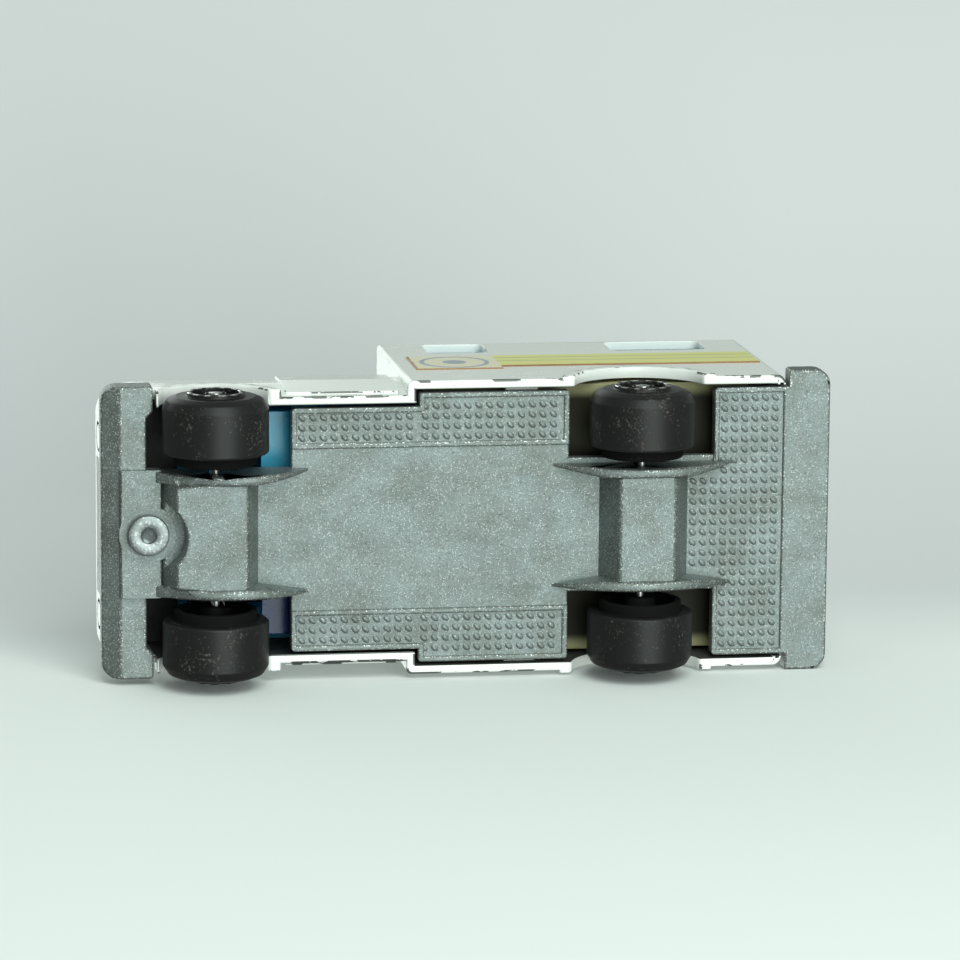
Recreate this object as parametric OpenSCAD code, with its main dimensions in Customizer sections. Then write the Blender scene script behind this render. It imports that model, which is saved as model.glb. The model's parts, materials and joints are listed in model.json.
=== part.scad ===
// Toy ambulance: a cast cab with a box body on a cast base, with free-turning wheels and opening rear doors.
// The front faces -Y, +X is the vehicle's left and +Z is up. The origin is on the ground, under the middle.

/* [Overall] */
// Length over both bumpers
overall_l = 66; // [58:0.5:76]
// Height of the box roof over the ground
roof_h = 28.6; // [25:0.2:31]
// Height of the base's underside over the ground
base_h = 6.4; // [6:0.1:6.8]
// Wall of the body casting
body_wall = 0.8; // [0.6:0.05:0.95]

/* [Cab] */
// Step from the box side in to the widest part of the cab
cab_set_in = 0.8; // [0.5:0.05:1]
// Step from the cab's widest part in to its sill
cab_tuck = 0.45; // [0.1:0.05:0.8]
// Step from the cab's widest part in to the window line
cab_belt_in = 0.3; // [0.1:0.05:0.6]
// Step from the cab's widest part in to the roof's edge
cab_roof_in = 2.4; // [1.6:0.1:3.1]
// Height of the widest part of the cab
cab_bulge_h = 11.5; // [10.5:0.1:12.5]
// Height of the window line
cab_belt_h = 15.8; // [15:0.1:16.4]
// Height of the cab roof
cab_roof_h = 23; // [22:0.1:24]
// Height of the nose
nose_h = 14; // [13.4:0.1:14.8]
// Height of the windscreen's foot
cowl_h = 16.3; // [15.6:0.1:16.8]
// Distance from the nose to the windscreen's foot
cowl_from_nose = 8.2; // [7.4:0.1:9]
// Distance from the nose to the windscreen's head
screen_top_from_nose = 14.9; // [14:0.1:16]
// Round of the nose corners, seen from above
nose_corner_r = 2.4; // [1.6:0.1:3]
// Round of the cab roof's side edges
cab_roof_r = 1.3; // [0.8:0.1:1.8]

/* [Box] */
// Distance from the nose to the front of the box
box_from_nose = 27.4; // [26.6:0.1:28.2]
// Half width of the box
box_half = 13.4; // [11.5:0.05:15.5]
// Round of the box roof's edges
box_roof_r = 0.9; // [0.9:0.1:1.5]
// Round of the box's front corners
box_front_r = 0.5; // [0.3:0.1:0.8]
// Round of the box's rear corners
box_rear_r = 0.85; // [0.5:0.05:1]
// Length of the front side window
front_window_l = 5.6; // [4:0.2:6.4]
// Length of the rear side window
rear_window_l = 9; // [7:0.2:9.6]
// Height of the side windows
box_window_h = 5; // [3:0.1:5.2]

/* [Rear doors] */
// Radius of the hinge pins
hinge_pin_r = 0.45; // [0.35:0.05:0.5]
// Radius of the rounded hinge edge
knuckle_r = 0.7; // [0.6:0.05:0.75]
// Thickness of a door panel
door_t = 0.8; // [0.6:0.05:1]
// Width of a door's frame on its free side
door_frame_free = 2.65; // [2.2:0.05:3.2]
// Width of a door's frame beside its hinge
door_frame_hinge = 2.7; // [1.7:0.1:4.7]
// Height of a door's window
door_window_h = 5.4; // [4:0.2:6.2]

/* [Base] */
// Thickness of the base casting with its rims
base_t = 1.2; // [1:0.05:1.4]
// Height of the rims and of the tread's border
rim_h = 0.25; // [0.15:0.05:0.4]
// Width of the rims
rim_w = 0.5; // [0.3:0.05:0.7]
// Half width of the plain middle panel
panel_half = 7.35; // [7:0.05:7.6]
// Reach of the base past the fins beside the rear axle
well_past_fin = 0.5; // [0.35:0.05:0.75]
// Length of the wheel wells ahead of the axle
well_ahead = 6.3; // [5.8:0.1:6.6]
// Length of the wheel wells behind the axle
well_behind = 6.95; // [6.2:0.05:7.2]
// Radius of the spun rivet head
rivet_head_r = 1.85; // [1.6:0.05:2.1]

/* [Bumpers] */
// Step from the box side in to the front bumper's end
front_bumper_in = 0.15; // [-0.1:0.05:0.4]
// Depth of the front bumper
front_bumper_d = 4; // [3.6:0.1:4.2]
// Height of the front bumper
front_bumper_h = 2.7; // [2.2:0.1:2.9]
// Reach of the rear bumper past the box side
rear_bumper_past = 0.44; // [0.2:0.02:0.6]
// Depth of the rear bumper behind the box
rear_bumper_d = 3.8; // [3.2:0.1:4.4]
// Height of the rear bumper
rear_bumper_h = 2.2; // [1.8:0.1:2.5]
// Round of the bumpers' outer corners
bumper_r = 1.4; // [1:0.1:1.7]

/* [Axles and wheels] */
// Diameter of the wheels
wheel_d = 9.5; // [9:0.1:9.9]
// Width of the tread
wheel_w = 5.1; // [4.8:0.05:5.3]
// Step from the box side in to a wheel's outer face
wheel_set_in = 0.4; // [0.2:0.05:0.6]
// Distance from the nose to the front axle
front_axle_from_nose = 10; // [9.8:0.1:10.3]
// Distance from the rear axle to the rear bumper's edge
rear_overhang = 17.6; // [16.6:0.1:18.6]
// Diameter of the axle wire
axle_d = 0.7; // [0.6:0.05:0.9]
// Radius of the bright hub
hub_r = 2.55; // [2.2:0.05:2.9]

/* [Glazing and interior] */
// Thickness of the blue moulding
glass_t = 0.7; // [0.5:0.05:0.9]
// Radius of a roof beacon
beacon_r = 1.3; // [1:0.05:1.6]
// Height of a roof beacon over the cab roof
beacon_h = 2.1; // [1.6:0.1:2.8]
// Thickness of the tray's floor and walls
tray_t = 0.8; // [0.6:0.05:1]
// Height of the tray's side walls over its floor
tray_wall_h = 4.6; // [3:0.1:5.4]

/* [Labels] */
// Thickness of a label
label_t = 0.1; // [0.06:0.01:0.15]
// Length of the pale front field
label_field_l = 8; // [7:0.1:10]
// Reach of the pale front field under the stripe
label_field_under = 1.2; // [0.8:0.1:2.8]
// Distance from the label's end to the rear of the box
label_rear_margin = 0.9; // [0.9:0.1:5.5]
// Height of the stripe's lower edge over the rear arch
label_over_arch = 1.7; // [1.2:0.1:4.2]

/* [Clearances] */
// Gap between the base and the body's walls
base_gap = 0.3; // [0.2:0.05:0.4]
// Gap around a door
door_gap = 0.3; // [0.2:0.05:0.4]
// Radial clearance of the hinge pins
hinge_clear = 0.05; // [0.03:0.01:0.08]
// Radial clearance of the wheels on the axle
wheel_clear = 0.04; // [0.02:0.01:0.08]
// Clearance of the axle in its channel
channel_clear = 0.05; // [0.02:0.01:0.1]
// Gap between the glazing and the body
glass_gap = 0.1; // [0.05:0.01:0.15]
// Room over the wheels
wheel_room = 0.8; // [0.6:0.05:1]
// Side play of a wheel between its axle head and the fins
wheel_play = 0.65; // [0.5:0.05:0.8]
// Room round the front wheels in the arches
front_arch_room = 0.45; // [0.4:0.05:1]
// Room round the rear wheels in the arches
rear_arch_room = 1.4; // [1:0.05:1.6]

/* [Hidden] */
$fn = 64;
corner_steps = 5;
overrun = 1;

nose_y = -overall_l / 2;
tail_y = overall_l / 2;
front_axle_y = nose_y + front_axle_from_nose;
rear_axle_y = tail_y - rear_overhang;
axle_z = wheel_d / 2;
base_top = base_h + base_t;
floor_z = base_h + rim_h;
front_arch_r = axle_z + front_arch_room;
rear_arch_r = axle_z + rear_arch_room;
cowl_y = nose_y + cowl_from_nose;
screen_top_y = nose_y + screen_top_from_nose;
box_front_y = nose_y + box_from_nose;
box_rear_y = tail_y - rear_bumper_d - base_gap;

cab_bulge_half = box_half - cab_set_in;
cab_sill_half = cab_bulge_half - cab_tuck;
cab_belt_half = cab_bulge_half - cab_belt_in;
cab_roof_half = cab_bulge_half - cab_roof_in;
front_bumper_half = box_half - front_bumper_in;
rear_bumper_half = box_half + rear_bumper_past;
body_span = 2 * rear_bumper_half;
cab_run_in = 4;
cab_rear_y = box_front_y + cab_run_in;
nose_rake = 0.4;
nose_top_back = 0.9;
nose_round = 0.7;
cab_taper = 0.5;
cab_taper_l = 7;
cab_roof_edge_drop = 1;
nose_half = cab_bulge_half - cab_taper;

window_sill = 1.2;
window_head = 1.5;
window_post = 2.4;
window_r = 0.6;
screen_edge = 1.5;
cab_door_out = 0.22;
cab_door_set = 0.7;
cab_door_l = 10.2;
grille_h = 2.9;
grille_deep = 0.45;
grille_bars = 5;
grille_drop = 0.9;
grille_bar_share = 0.45;
lamp_r = 1.4;
lamp_ring_w = 0.3;
grille_to_lamp = 0.5;
lamp_to_corner = 0.2;
grille_half = nose_half - nose_corner_r - lamp_to_corner - 2 * lamp_r - grille_to_lamp;
flare_w = 1.1;
flare_out = 0.22;

box_window_drop = 1.3;
front_window_from_wall = 4.1;
rear_window_from_wall = 4.2;

hinge_set_in = 0.1;
hinge_x = box_half - body_wall - door_gap - knuckle_r - hinge_set_in;
door_recess = 0.3;
hinge_y = box_rear_y - knuckle_r - door_recess;
lintel_h = 1.6;
lintel_d = 2.2;
sill_top = base_h + rear_bumper_h;
door_low = sill_top + door_gap;
door_high = roof_h - lintel_h - door_gap;
pin_reach = 0.75;
pin_end_room = 0.1;
door_window_drop = 2.2;
handle_l = 0.5;
handle_h = 2.2;
handle_out = 0.25;
handle_from_edge = 1.1;
handle_h_share = 0.33;

hub_boss_r = 1.4;
hub_boss_past = 0.25;
hub_proud = 0.35;
hub_ring_w = 0.45;
hub_dish = 0.7;
hub_nub_r = 0.95;
hub_nub_back = 0.5;
drum_step = 1.05;
drum_r = axle_z - drum_step;
drum_wall = 0.55;
drum_out = 1;
cup_deep = 0.4;
inner_shoulder_r = 0.6;
outer_shoulder_r = 1.2;
wheel_face = box_half - wheel_set_in;
wheel_back = wheel_face - hub_proud - wheel_w;
drum_end = wheel_back - drum_out;
boss_end = drum_end - hub_boss_past;

fin_t = 0.95;
fin_out = boss_end - wheel_play;
fin_in = fin_out - fin_t;
fin_below = 1.9;
ridge_below = 1.35;
rear_well_half = fin_out + well_past_fin;
pad_past_fin = 0.15;
rivet_pad_half = fin_out + pad_past_fin;
narrow_half = cab_sill_half - body_wall - base_gap;
wide_half = box_half - body_wall - base_gap;
strip_front_y = front_axle_y + well_behind;
step_y = box_front_y + body_wall + base_gap;
strip_rear_y = rear_axle_y - well_ahead;
panel_front_y = rear_axle_y + well_behind;
panel_rear_y = tail_y - rear_bumper_d;
rivet_from_nose = 4.1;
rivet_y = nose_y + rivet_from_nose;
rivet_pad_down = 0.4;
rivet_pad_behind = 1.2;
rivet_boss_r = 2.6;
rivet_boss_down = 0.25;
rivet_shank_r = 1.2;
rivet_hole_clear = 0.1;
rivet_head_t = 0.6;
rivet_dimple_r = 0.65;
rivet_dimple_deep = 0.35;
rivet_post_r = 2.1;
rivet_scallop_r = 3.3;
lug_w = 1.1;
lug_l = 3;
lug_h = 1;
lug_place_share = 0.6912;
bumper_bevel_d = 1.6;
bumper_bevel_h = 1;
bumper_end_w = 2.3;
bumper_end_d = 0.6;
threshold_d = 1.9;

axle_head_r = 0.62;
axle_head_t = 0.3;
axle_end_play = 0.12;

glass_low_h = 1.3;
glass_under_roof = 2;
glass_under_window = 1;
box_window_low = roof_h - box_window_drop - box_window_h;
box_glass_low = min(cab_roof_h - glass_under_roof, box_window_low - glass_under_window);
box_glass_rear = 2.4;
cab_floor_ahead = 4.7;
cab_floor_in = 0.85;
cab_floor_rear = 1.2;
leg_w = 1.3;
leg_l = 2.2;
leg_from_edge = 0.5;
tongue_in = 1.1;
tongue_half = fin_in - tongue_in;
tongue_t = 0.55;
tongue_strip_past = 0.6;
tongue_strip_l = 1.4;
beacon_in = 4.6;
beacon_x = cab_roof_half - beacon_in;
beacon_from_box = 5.4;
beacon_clear = 0.1;
tray_z = wheel_d + wheel_room;
tray_gap = 0.35;
tray_rear_gap = 0.5;
tray_leg_w = 4.6;
tray_leg_l = 1.4;
tray_leg_from_fin = 0.45;
tray_leg_in = fin_out - tray_leg_from_fin;
tray_leg_set = 0.6;
cot_half = 3.2;
cot_h = 1.5;
cot_l_share = 0.62;
cot_head_l_share = 0.2;
cot_head_h = 0.7;
bench_w = 3;
bench_h = 2.4;
cupboard_d = 2.2;

label_from_wall = 1.6;
label_top_drop = 8.8;
label_field_drop = 0.1;

// Each ridge's foot and flat, ahead of its axle and behind it
front_ridge_foot_ahead = 4.7;
front_ridge_ahead = 3.55;
front_ridge_behind = 2.8;
front_ridge_foot_behind = 4;
rear_ridge_foot_ahead = 3.5;
rear_ridge_ahead = 2.15;
rear_ridge_behind = 3;
rear_ridge_foot_behind = 4.6;
// Each pair of fins' ends, ahead of the axle and behind it
front_fin_ahead = 5.7;
front_fin_behind = 8.5;
rear_fin_ahead = 7.8;
rear_fin_behind = 8.7;

function unit(v) = v / norm(v);
function left(v) = [-v[1], v[0]];
function before(p, i) = p[(i + len(p) - 1) % len(p)];
function after(p, i) = p[(i + 1) % len(p)];

// An outline, listed anticlockwise, with its edges moved inwards by d
function inset(p, d) = [for (i = [0 : len(p) - 1])
    let (n = left(unit(p[i] - before(p, i))), m = left(unit(after(p, i) - p[i])))
    p[i] + (n + m) * d / (1 + n * m)];

// The points that round the corner b between a and c
function corner(a, b, c, r) =
    let (u = unit(a - b), v = unit(c - b), half = acos(u * v) / 2,
        mid = b + unit(u + v) * r / sin(half),
        from = b + u * r / tan(half) - mid,
        start = atan2(from[1], from[0]),
        turn = (180 - 2 * half) * sign(cross(b - a, c - b)) / corner_steps)
    r == 0 ? [b] : [for (k = [0 : corner_steps]) mid + r * [cos(start + turn * k), sin(start + turn * k)]];

// An outline inset by d, with each corner rounded by what its radius leaves
function shaped(p, r, d) = let (q = inset(p, d))
    [for (i = [0 : len(q) - 1]) each corner(before(q, i), q[i], after(q, i), max(r[i] - d, 0))];

// Extrudes an outline of Y and Z along X, or one of X and Z along Y, to both sides of zero
module along_x(w) {
    rotate([90, 0, 90]) linear_extrude(w, center = true) children();
}
module along_y(l) {
    rotate([90, 0, 0]) linear_extrude(l, center = true) children();
}
// A block between two corners
module block(low, high) {
    translate(low) cube(high - low);
}
// A block and its mirror image on the other side
module both_sides() {
    children();
    mirror([1, 0, 0]) children();
}
// A round bar along X, centred on a point of Y and Z
module bar_x(y, z, r, w) {
    translate([0, y, z]) rotate([0, 90, 0]) cylinder(r = r, h = w, center = true);
}

// The cab's form, inset by d, down to the ground
module cab_form(d) {
    side = [[nose_y + nose_rake, 0], [cab_rear_y, 0], [cab_rear_y, cab_roof_h],
        [screen_top_y, cab_roof_h], [cowl_y, cowl_h], [nose_y + nose_top_back, nose_h + nose_round],
        [nose_y, nose_h - nose_round]];
    front = [[-cab_sill_half, 0], [cab_sill_half, 0], [cab_sill_half, base_h], [cab_bulge_half, cab_bulge_h],
        [cab_belt_half, cab_belt_h], [cab_roof_half, cab_roof_h - cab_roof_edge_drop],
        [cab_roof_half - cab_roof_r, cab_roof_h], [cab_roof_r - cab_roof_half, cab_roof_h],
        [-cab_roof_half, cab_roof_h - cab_roof_edge_drop], [-cab_belt_half, cab_belt_h],
        [-cab_bulge_half, cab_bulge_h], [-cab_sill_half, base_h]];
    wide = cab_bulge_half;
    plan = [[-nose_half, nose_y], [nose_half, nose_y], [wide, nose_y + cab_taper_l], [wide, cab_rear_y],
        [-wide, cab_rear_y], [-wide, nose_y + cab_taper_l]];
    intersection() {
        along_x(body_span) polygon(shaped(side, [0, 0, 0, cab_roof_r, cab_roof_r, nose_round, nose_round], d));
        along_y(2 * overall_l) polygon(shaped(front,
            [0, 0, cab_roof_r, cab_roof_r, cab_roof_r, nose_round, nose_round, nose_round, nose_round,
            cab_roof_r, cab_roof_r, cab_roof_r], d));
        linear_extrude(roof_h) polygon(shaped(plan, [nose_corner_r, nose_corner_r, 0, 0, 0, 0], d));
    }
}

// The box's form, inset by d, down to the ground
module box_form(d) {
    side = [[box_front_y, 0], [box_rear_y, 0], [box_rear_y, roof_h], [box_front_y, roof_h]];
    front = [[-box_half, 0], [box_half, 0], [box_half, roof_h], [-box_half, roof_h]];
    plan = [[-box_half, box_front_y], [box_half, box_front_y], [box_half, box_rear_y], [-box_half, box_rear_y]];
    intersection() {
        along_x(body_span) polygon(shaped(side, [0, 0, box_roof_r, box_roof_r], d));
        along_y(2 * overall_l) polygon(shaped(front, [0, 0, box_roof_r, box_roof_r], d));
        linear_extrude(roof_h) polygon(shaped(plan, [box_front_r, box_front_r, box_rear_r, box_rear_r], d));
    }
}

// Windscreen and side window openings of the cab
module cab_windows() {
    low = cab_belt_h + window_sill;
    high = cab_roof_h - window_head;
    lean = (screen_top_y - cowl_y) / (cab_roof_h - cowl_h);
    foot = cowl_y + lean * (low - cowl_h) + window_post;
    head = cowl_y + lean * (high - cowl_h) + window_post;
    rear = box_front_y - window_post;
    pane = [[foot, low], [rear, low], [rear, high], [head, high]];
    along_x(body_span) polygon(shaped(pane, [window_r, window_r, window_r, window_r], 0));
    half_low = cab_belt_half - screen_edge - window_sill;
    half_high = cab_roof_half - screen_edge;
    screen = [[-half_low, low], [half_low, low], [half_high, high], [-half_high, high]];
    screen_d = screen_top_y - cowl_y + window_post;
    translate([0, cowl_y + screen_d / 2 - body_wall, 0]) along_y(screen_d)
        polygon(shaped(screen, [window_r, window_r, window_r, window_r], 0));
}

// One side window opening of the box, its front edge at y
module box_window(y, l) {
    low = box_window_low;
    high = low + box_window_h;
    pane = [[y, low], [y + l, low], [y + l, high], [y, high]];
    along_x(body_span) polygon(shaped(pane, [window_r, window_r, window_r, window_r], 0));
}

// Flare that stands out round a wheel arch, from one half width to another
module arch_flare(y, r, half_in, half_out) {
    intersection() {
        difference() {
            bar_x(y, axle_z, r + flare_w, 2 * half_out);
            cube([2 * half_in, 2 * overall_l, 2 * roof_h], center = true);
        }
        block([-body_span, nose_y, base_h], [body_span, tail_y, roof_h]);
    }
}

// Raised skins of the two cab doors
module cab_door_skins() {
    rear = box_front_y - cab_door_set;
    both_sides() intersection() {
        cab_form(-cab_door_out);
        block([cab_sill_half - body_wall, rear - cab_door_l, base_h + cab_door_set],
            [body_span, rear, cab_belt_h]);
    }
}

// Slots of the grille, and a sunk ring round each lamp, on the nose
module grille_cuts() {
    high = nose_h - nose_round - grille_drop;
    pitch = grille_h / grille_bars;
    for (k = [0 : grille_bars - 1])
        block([-grille_half, nose_y - overrun, high - (k + 1) * pitch + pitch * grille_bar_share],
            [grille_half, nose_y + grille_deep, high - k * pitch]);
}
module lamp_rings() {
    z = nose_h - nose_round - grille_drop - grille_h / 2;
    for (side = [-1, 1])
        translate([side * (grille_half + grille_to_lamp + lamp_r), nose_y + grille_deep, z]) rotate([90, 0, 0])
            difference() {
                cylinder(r = lamp_r, h = grille_deep + overrun);
                cylinder(r = lamp_r - lamp_ring_w, h = grille_deep + overrun);
            }
}

// Post that the base hangs on, with its end spun over as the rivet head
module rivet_post() {
    boss_low = base_h - rivet_pad_down - rivet_boss_down;
    intersection() {
        translate([0, rivet_y, base_top]) cylinder(r = rivet_post_r, h = cowl_h - base_top);
        cab_form(body_wall / 2);
    }
    translate([0, rivet_y, 0]) {
        translate([0, 0, boss_low]) cylinder(r = rivet_shank_r, h = base_top - boss_low);
        difference() {
            translate([0, 0, boss_low - rivet_head_t]) cylinder(r = rivet_head_r, h = rivet_head_t);
            translate([0, 0, boss_low - rivet_head_t - overrun])
                cylinder(r = rivet_dimple_r, h = rivet_dimple_deep + overrun);
        }
    }
}

// Lugs inside the box walls that sit on the base
module base_lugs() {
    inner = box_half - body_wall;
    mid = step_y + (strip_rear_y - step_y) * lug_place_share;
    both_sides() block([inner - lug_w, mid - lug_l / 2, base_top],
        [inner + body_wall / 2, mid + lug_l / 2, base_top + lug_h]);
}

// Frame of the rear opening: lintel over the doors
module door_lintel() {
    intersection() {
        box_form(body_wall / 2);
        block([-box_half, box_rear_y - lintel_d, roof_h - lintel_h], [box_half, box_rear_y, roof_h]);
    }
}

// A hinge pin's place, on both sides
module at_hinges() {
    for (side = [-1, 1]) translate([side * hinge_x, hinge_y, 0]) children();
}

// Hollow casting of cab and box, open underneath and at its wheel arches
module hollow_body() {
    difference() {
        union() {
            cab_form(0);
            box_form(0);
            arch_flare(front_axle_y, front_arch_r, cab_sill_half - body_wall, cab_bulge_half + flare_out);
            arch_flare(rear_axle_y, rear_arch_r, box_half - body_wall, box_half + flare_out);
            cab_door_skins();
        }
        cab_form(body_wall);
        box_form(body_wall);
        bar_x(front_axle_y, axle_z, front_arch_r, body_span);
        bar_x(rear_axle_y, axle_z, rear_arch_r, body_span);
        block([-body_span, nose_y - overrun, -overrun], [body_span, tail_y, base_h]);
        block([-body_span, nose_y - overrun, -overrun],
            [body_span, nose_y + front_bumper_d + bumper_end_d + base_gap, base_h + front_bumper_h + base_gap]);
    }
}

module body_shell() {
    pillar_in = hinge_x + knuckle_r + door_gap;
    color("white") difference() {
        union() {
            hollow_body();
            rivet_post();
            base_lugs();
            door_lintel();
        }
        cab_windows();
        box_window(box_front_y + front_window_from_wall, front_window_l);
        box_window(box_rear_y - rear_window_from_wall - rear_window_l, rear_window_l);
        grille_cuts();
        lamp_rings();
        block([-pillar_in, box_rear_y - lintel_d, 0], [pillar_in, tail_y, roof_h - lintel_h]);
        for (side = [-1, 1]) translate([side * beacon_x, box_front_y - beacon_from_box, cowl_h])
            cylinder(r = beacon_r + beacon_clear, h = roof_h - cowl_h);
        at_hinges() translate([0, 0, roof_h - lintel_h - overrun])
            cylinder(r = hinge_pin_r + hinge_clear, h = overrun + pin_reach - door_gap + pin_end_room);
    }
}

// One bumper as a rounded bar: its front edge at y, bevelled on the underside of its outer edge
module front_bumper() {
    w = front_bumper_half;
    rear = nose_y + front_bumper_d;
    plan = [[-w, nose_y], [w, nose_y], [w, rear + bumper_end_d], [w - bumper_end_w, rear + bumper_end_d],
        [w - bumper_end_w - bumper_end_d, rear], [bumper_end_w + bumper_end_d - w, rear],
        [bumper_end_w - w, rear + bumper_end_d], [-w, rear + bumper_end_d]];
    side = [[nose_y + bumper_bevel_d, base_h], [box_front_y, base_h], [box_front_y, base_h + front_bumper_h],
        [nose_y, base_h + front_bumper_h], [nose_y, base_h + bumper_bevel_h]];
    intersection() {
        linear_extrude(roof_h) polygon(shaped(plan, [bumper_r, bumper_r, 0, 0, 0, 0, 0, 0], 0));
        along_x(body_span) polygon(side);
    }
}
module rear_bumper() {
    w = rear_bumper_half;
    front = tail_y - rear_bumper_d;
    plan = [[-w, front], [w, front], [w, tail_y], [-w, tail_y]];
    translate([0, 0, base_h]) linear_extrude(rear_bumper_h)
        polygon(shaped(plan, [0, 0, bumper_r, bumper_r], 0));
    threshold_half = box_half - body_wall - base_gap;
    block([-threshold_half, front - threshold_d, floor_z], [threshold_half, front + overrun, sill_top]);
}

// Plan of the base between the bumpers, as steps of front edge, rear edge and half width
module base_floor() {
    steps = [[nose_y + front_bumper_d - overrun, strip_front_y, fin_out], [strip_front_y, step_y, narrow_half],
        [step_y, strip_rear_y, wide_half], [strip_rear_y, panel_front_y, rear_well_half],
        [panel_front_y, panel_rear_y, wide_half]];
    for (s = steps) block([-s[2], s[0], floor_z], [s[2], s[1], base_top]);
}

// Raised borders of the side strips and of the rear panel
module base_rims() {
    inner = panel_half;
    both_sides() translate([0, 0, base_h]) linear_extrude(rim_h) difference() {
        union() {
            translate([inner, strip_front_y]) square([narrow_half - inner, step_y - strip_front_y]);
            translate([inner, step_y]) square([wide_half - inner, strip_rear_y - step_y]);
        }
        translate([inner + rim_w, strip_front_y + rim_w])
            square([narrow_half - inner - 2 * rim_w, step_y - strip_front_y]);
        translate([inner + rim_w, step_y + rim_w])
            square([wide_half - inner - 2 * rim_w, strip_rear_y - step_y - 2 * rim_w]);
    }
    translate([0, 0, base_h]) linear_extrude(rim_h) difference() {
        translate([-wide_half, panel_front_y]) square([2 * wide_half, panel_rear_y - panel_front_y]);
        translate([rim_w - wide_half, panel_front_y + rim_w])
            square([2 * (wide_half - rim_w), panel_rear_y - panel_front_y - 2 * rim_w]);
        translate([-fin_in, panel_front_y - overrun]) square([2 * fin_in, rim_w + 2 * overrun]);
    }
}

// Ridge across the base that carries an axle, between two curved fins
module axle_ridge(y, ridge, fin) {
    low = axle_z - ridge_below;
    along_x(2 * fin_in) polygon([[y - ridge[0], floor_z], [y - ridge[1], low], [y + ridge[2], low],
        [y + ridge[3], floor_z], [y + ridge[3], base_top], [y - ridge[0], base_top]]);
    half = (fin[0] + fin[1]) / 2;
    mid = y + (fin[1] - fin[0]) / 2;
    deep = floor_z - axle_z + fin_below;
    r = (half * half + deep * deep) / (2 * deep);
    both_sides() intersection() {
        translate([(fin_in + fin_out) / 2, 0, 0]) bar_x(mid, floor_z - deep + r, r, fin_t);
        block([fin_in, mid - half - overrun, 0], [fin_out, mid + half + overrun, base_top]);
    }
}

// Slot from above that the axle lies in
module axle_channel(y) {
    r = axle_d / 2 + channel_clear;
    bar_x(y, axle_z, r, body_span);
    block([-body_span / 2, y - r, axle_z], [body_span / 2, y + r, base_top + overrun]);
}

module base_plate() {
    pad_low = base_h - rivet_pad_down;
    boss_low = pad_low - rivet_boss_down;
    color("silver") difference() {
        union() {
            base_floor();
            base_rims();
            front_bumper();
            rear_bumper();
            block([-rivet_pad_half, nose_y + bumper_bevel_d, pad_low],
                [rivet_pad_half, rivet_y + rivet_pad_behind, base_top]);
            difference() {
                union() {
                    axle_ridge(front_axle_y, [front_ridge_foot_ahead, front_ridge_ahead, front_ridge_behind,
                        front_ridge_foot_behind], [front_fin_ahead, front_fin_behind]);
                    axle_ridge(rear_axle_y, [rear_ridge_foot_ahead, rear_ridge_ahead, rear_ridge_behind,
                        rear_ridge_foot_behind], [rear_fin_ahead, rear_fin_behind]);
                }
                translate([0, rivet_y, 0]) cylinder(r = rivet_scallop_r, h = pad_low);
            }
            translate([0, rivet_y, boss_low]) cylinder(r = rivet_boss_r, h = base_top - boss_low);
        }
        translate([0, rivet_y, 0]) cylinder(r = rivet_shank_r + rivet_hole_clear, h = roof_h);
        translate([0, rivet_y, base_top]) cylinder(r = rivet_post_r + rivet_hole_clear, h = roof_h);
        axle_channel(front_axle_y);
        axle_channel(rear_axle_y);
        at_hinges() translate([0, 0, sill_top - pin_reach + door_gap - pin_end_room])
            cylinder(r = hinge_pin_r + hinge_clear, h = roof_h);
    }
}

// Tongue that keeps an axle down in its slot, hung from a floor at z
module axle_tongue(y, z) {
    block([-tongue_half, y - tongue_t / 2, axle_z + axle_d / 2 + channel_clear],
        [tongue_half, y + tongue_t / 2, z]);
}

module window_glazing() {
    out = body_wall + glass_gap;
    in = out + glass_t;
    rear = box_front_y + in;
    cab_floor_half = narrow_half - cab_floor_in;
    floor_front = front_axle_y + cab_floor_ahead;
    floor_rear = box_front_y - cab_floor_rear;
    leg_y = strip_front_y + leg_from_edge;
    color("royalblue") {
        intersection() {
            difference() {
                cab_form(out);
                cab_form(in);
            }
            block([-body_span, cowl_y - glass_t, cab_belt_h - glass_low_h], [body_span, rear, roof_h]);
        }
        difference() {
            box_form(out);
            box_form(in);
            block([-body_span, nose_y, 0], [body_span, tail_y, box_glass_low]);
            block([-body_span, box_rear_y - lintel_d - box_glass_rear, 0], [body_span, tail_y, roof_h]);
            cab_form(in);
        }
        for (side = [-1, 1]) translate([side * beacon_x, box_front_y - beacon_from_box, cab_roof_h - in]) {
            cylinder(r = beacon_r, h = in + beacon_h - beacon_r);
            translate([0, 0, in + beacon_h - beacon_r]) sphere(r = beacon_r);
        }
        block([-cab_floor_half, floor_front, tray_z], [cab_floor_half, floor_rear, tray_z + glass_t]);
        block([-tongue_half - tongue_strip_past, front_axle_y - tongue_strip_l, tray_z],
            [tongue_half + tongue_strip_past, floor_front + overrun, tray_z + glass_t]);
        axle_tongue(front_axle_y, tray_z + glass_t);
        both_sides() block([cab_floor_half - leg_w, leg_y, base_top],
            [cab_floor_half, leg_y + leg_l, tray_z + glass_t]);
        both_sides() block([cab_belt_half - in - leg_w, leg_y, tray_z],
            [cab_belt_half - in + glass_t / 2, leg_y + leg_l, cab_belt_h]);
    }
}

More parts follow.
